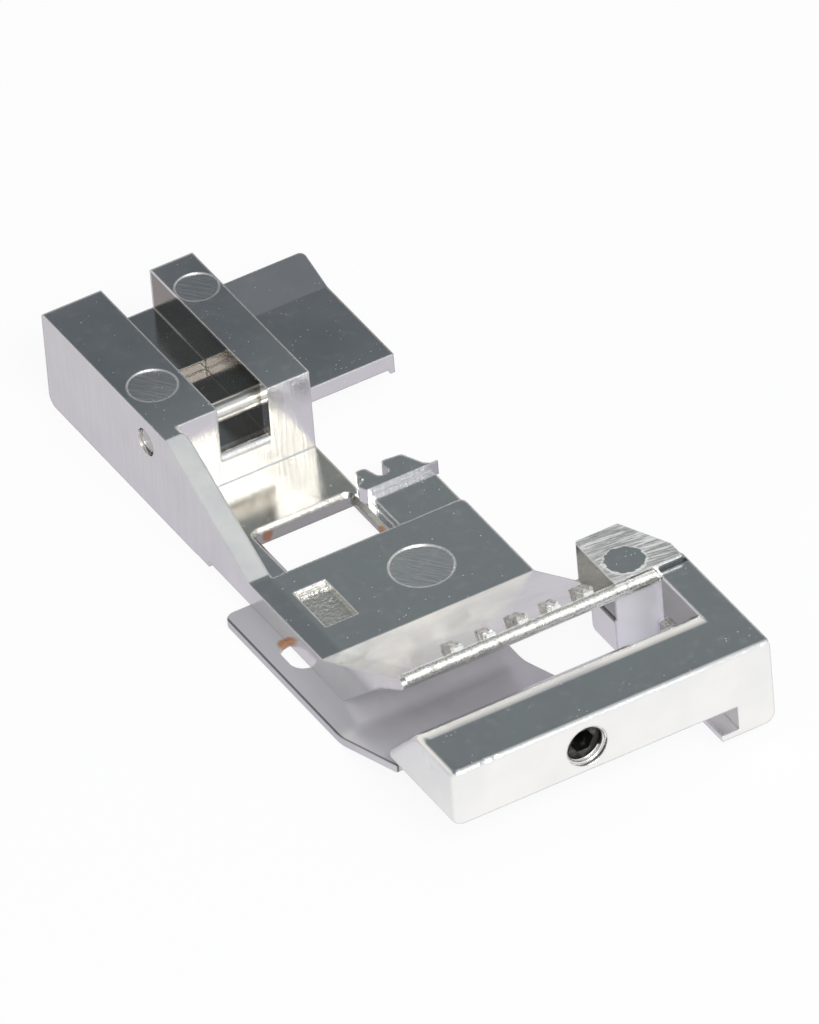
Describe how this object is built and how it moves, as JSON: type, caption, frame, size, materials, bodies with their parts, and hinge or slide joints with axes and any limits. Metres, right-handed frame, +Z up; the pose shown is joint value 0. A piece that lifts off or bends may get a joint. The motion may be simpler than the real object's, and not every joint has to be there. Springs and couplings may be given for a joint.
{
  "type": "sewing machine presser foot",
  "caption": "Clip-on presser foot for an overlock machine, with a needle window, a raised tape slot, a bent sole sheet and a snap pin.",
  "frame": {"origin": "middle of the part's box at the level of the sole", "axes": "+X from the left end of the front bar to the leg, +Y from the front bar to the tail, +Z up from the sole"},
  "size_m": [0.0238, 0.0576, 0.0084],
  "materials": {
    "plated_casting": "nickel plated zinc casting, satin",
    "polished_sheet": "smooth rolled sheet, bright",
    "steel_pin": "ground steel",
    "dark_steel": "dark steel with a socket"
  },
  "bodies": {
    "root": {"foot_body": "plated_casting", "sole_plate": "polished_sheet", "snap_pin": "steel_pin", "set_screw": "dark_steel"}
  },
  "joints": []
}
